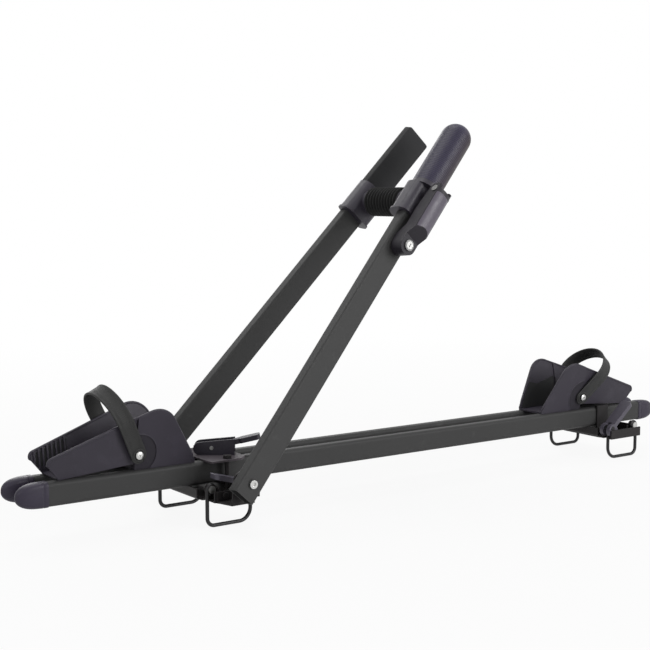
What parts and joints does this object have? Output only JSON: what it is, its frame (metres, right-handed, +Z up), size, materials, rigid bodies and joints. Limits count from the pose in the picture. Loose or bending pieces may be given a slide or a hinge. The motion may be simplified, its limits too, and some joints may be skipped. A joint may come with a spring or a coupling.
{
  "type": "roof mounted bike carrier",
  "caption": "Long twin-rail roof carrier for an upright bicycle, with strapped wheel trays, bail clamps for the roof bars and folding arms that end in a lockable frame clamp.",
  "frame": {"origin": "middle of the underside of the front saddle's rubber pad, where it rests on the front roof bar", "axes": "+X along the rails towards the rear saddle, +Y across the rails towards the far arm, +Z up"},
  "size_m": [1.35, 0.3046, 0.6245],
  "materials": {
    "dark_tube": "satin",
    "grey_tube": "satin",
    "cap_plastic": "matte",
    "tray_plastic": "matte",
    "claw_plastic": "matte",
    "lever_plastic": "matte",
    "coated_steel": "satin",
    "dark_wire": "satin",
    "bright_steel": "bright",
    "lock_metal": "polished",
    "black_rubber": "matte",
    "strap_rubber": "matte"
  },
  "bodies": {
    "base": {"near_rail": "dark_tube", "far_rail": "dark_tube", "front_near_end_cap": "cap_plastic", "front_far_end_cap": "cap_plastic", "rear_near_end_cap": "cap_plastic", "rear_far_end_cap": "cap_plastic", "front_saddle": "coated_steel", "front_pad": "black_rubber", "front_top_plate": "coated_steel", "front_saddle_bolts": "coated_steel", "front_hook_pins": "bright_steel", "near_arm_foot": "coated_steel", "far_arm_foot": "coated_steel", "arm_pivot_bolts": "bright_steel", "adjuster_housing": "lever_plastic", "adjuster_pin": "bright_steel", "front_tray": "tray_plastic", "front_tray_rivets": "bright_steel", "rear_tray": "tray_plastic", "rear_tray_rivets": "bright_steel"},
    "arms": {"near_arm": "grey_tube", "far_arm": "grey_tube", "near_claw": "claw_plastic", "far_claw": "claw_plastic", "near_jaw_pad": "black_rubber", "far_jaw_pad": "black_rubber", "ribbed_sleeve": "black_rubber", "clamp_lever_pin": "bright_steel"},
    "clamp_lever": {"clamp_lever": "lever_plastic", "lock_barrel": "lock_metal"},
    "lock_plug": {"lock_plug": "bright_steel"},
    "draw_rod": {"draw_rod": "bright_steel", "draw_rod_nut": "bright_steel"},
    "adjuster_lever": {"adjuster_lever": "lever_plastic"},
    "front_strap": {"front_strap": "strap_rubber"},
    "rear_strap": {"rear_strap": "strap_rubber"},
    "rear_bracket": {"rear_saddle": "coated_steel", "rear_pad": "black_rubber", "rear_rail_clips": "coated_steel", "rear_clip_bolts": "bright_steel", "rear_hook_pins": "bright_steel"},
    "front_near_bail": {"front_near_bail": "dark_wire"},
    "front_near_bail_lever": {"front_near_bail_lever": "lever_plastic", "front_near_lever_pin": "bright_steel"},
    "front_far_bail": {"front_far_bail": "dark_wire"},
    "front_far_bail_lever": {"front_far_bail_lever": "lever_plastic", "front_far_lever_pin": "bright_steel"},
    "rear_near_bail": {"rear_near_bail": "dark_wire"},
    "rear_near_bail_lever": {"rear_near_bail_lever": "lever_plastic", "rear_near_lever_pin": "bright_steel"},
    "rear_far_bail": {"rear_far_bail": "dark_wire"},
    "rear_far_bail_lever": {"rear_far_bail_lever": "lever_plastic", "rear_far_lever_pin": "bright_steel"}
  },
  "joints": [
    {"name": "arm_fold", "type": "hinge", "parent": "base", "child": "arms", "pos_m": [-0.003, 0, 0.04], "axis": [0, 1, 0], "range_deg": [-20, 40]},
    {"name": "clamp_lever_swing", "type": "hinge", "parent": "arms", "child": "clamp_lever", "pos_m": [0.3873, -0.11332, 0.4675], "axis": [-0.7431, 0, 0.6691], "range_deg": [0, 100]},
    {"name": "lock_turn", "type": "hinge", "parent": "clamp_lever", "child": "lock_plug", "pos_m": [0.31386, -0.12161, 0.38593], "axis": [0.0746, -0.9938, 0.0828], "range_deg": [0, 90]},
    {"name": "draw_rod_slide", "type": "slide", "parent": "arms", "child": "draw_rod", "axis": [0, 1, 0], "range_m": [0, 0.006]},
    {"name": "adjuster_swing", "type": "hinge", "parent": "base", "child": "adjuster_lever", "pos_m": [0.015, 0, 0.071], "axis": [-0.5736, -0.8192, 0], "range_deg": [0, 95]},
    {"name": "front_strap_swing", "type": "hinge", "parent": "base", "child": "front_strap", "pos_m": [-0.134, 0, 0.081], "axis": [0, -1, 0], "range_deg": [-25, 20]},
    {"name": "rear_strap_swing", "type": "hinge", "parent": "base", "child": "rear_strap", "pos_m": [0.813, 0, 0.081], "axis": [0, 1, 0], "range_deg": [-45, 4]},
    {"name": "rear_bracket_slide", "type": "slide", "parent": "base", "child": "rear_bracket", "axis": [1, 0, 0], "range_m": [-0.2, 0.03]},
    {"name": "front_near_bail_drop", "type": "hinge", "parent": "base", "child": "front_near_bail", "pos_m": [-0.03195, -0.075, 0.02235], "axis": [0, 1, 0], "range_deg": [0, 2.5]},
    {"name": "front_near_lever_swing", "type": "hinge", "parent": "front_near_bail", "child": "front_near_bail_lever", "pos_m": [0.0385, -0.075, 0.02335], "axis": [0, 1, 0], "range_deg": [0, 115]},
    {"name": "front_far_bail_drop", "type": "hinge", "parent": "base", "child": "front_far_bail", "pos_m": [-0.03195, 0.075, 0.02235], "axis": [0, 1, 0], "range_deg": [0, 2.5]},
    {"name": "front_far_lever_swing", "type": "hinge", "parent": "front_far_bail", "child": "front_far_bail_lever", "pos_m": [0.0385, 0.075, 0.02335], "axis": [0, 1, 0], "range_deg": [0, 115]},
    {"name": "rear_near_bail_drop", "type": "hinge", "parent": "rear_bracket", "child": "rear_near_bail", "pos_m": [0.91695, -0.075, 0.02235], "axis": [0, -1, 0], "range_deg": [-0.52, 1.95]},
    {"name": "rear_near_lever_swing", "type": "hinge", "parent": "rear_near_bail", "child": "rear_near_bail_lever", "pos_m": [0.8465, -0.075, 0.02335], "axis": [0, -1, 0], "range_deg": [-24, 91]},
    {"name": "rear_far_bail_drop", "type": "hinge", "parent": "rear_bracket", "child": "rear_far_bail", "pos_m": [0.91695, 0.075, 0.02235], "axis": [0, -1, 0], "range_deg": [-0.52, 1.95]},
    {"name": "rear_far_lever_swing", "type": "hinge", "parent": "rear_far_bail", "child": "rear_far_bail_lever", "pos_m": [0.8465, 0.075, 0.02335], "axis": [0, -1, 0], "range_deg": [-24, 91]}
  ],
  "couplings": [
    {"joint": "draw_rod_slide", "follows": "clamp_lever_swing", "m_per_rad": 0.003437},
    {"joint": "front_near_bail_drop", "follows": "front_near_lever_swing", "ratio": 0.0212},
    {"joint": "front_far_bail_drop", "follows": "front_far_lever_swing", "ratio": 0.0212},
    {"joint": "rear_near_bail_drop", "follows": "rear_near_lever_swing", "ratio": 0.0212},
    {"joint": "rear_far_bail_drop", "follows": "rear_far_lever_swing", "ratio": 0.0212}
  ]
}
